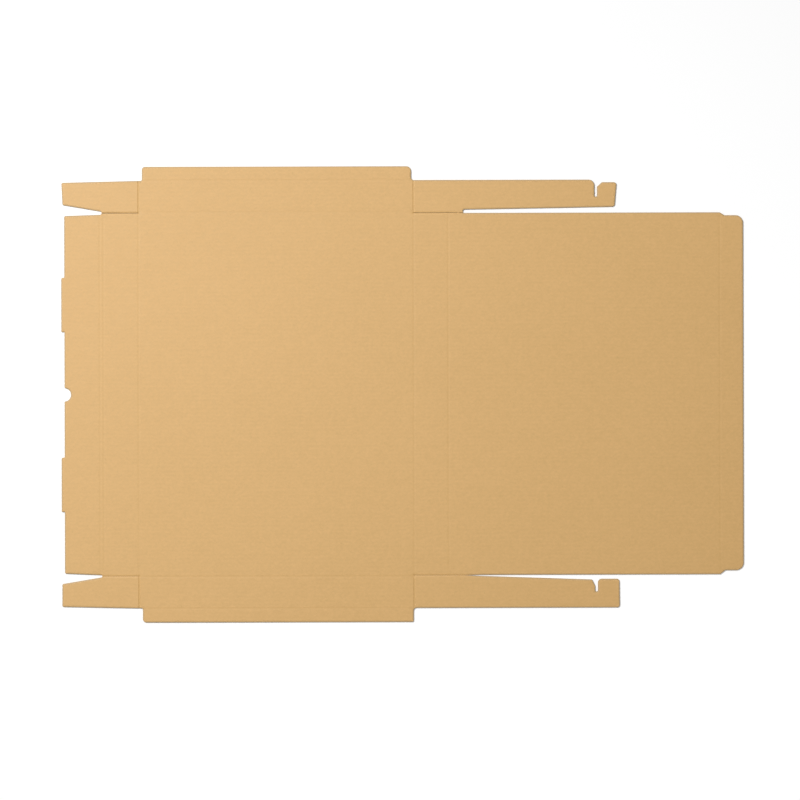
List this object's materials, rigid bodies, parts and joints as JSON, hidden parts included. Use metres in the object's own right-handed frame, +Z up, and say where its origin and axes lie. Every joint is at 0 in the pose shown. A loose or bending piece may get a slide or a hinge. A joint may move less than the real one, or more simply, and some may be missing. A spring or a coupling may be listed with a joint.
{
  "type": "flattened cardboard box",
  "caption": "Flat die-cut blank of a thin folding mailer box in corrugated board, with side walls, lock-notched ears, roll-over front panel, lid and tuck flap.",
  "frame": {"origin": "under the middle of the blank's outline, on the face that it rests on", "axes": "+X from the front panel towards the lid and its tuck flap, +Y along the main creases, +Z up out of the creased face"},
  "size_m": [0.5724, 0.3826, 0.0016],
  "materials": {
    "kraft_board": "uncoated kraft liner on fine-fluted corrugated board"
  },
  "bodies": {
    "root": {"box_blank": "kraft_board"}
  },
  "joints": []
}
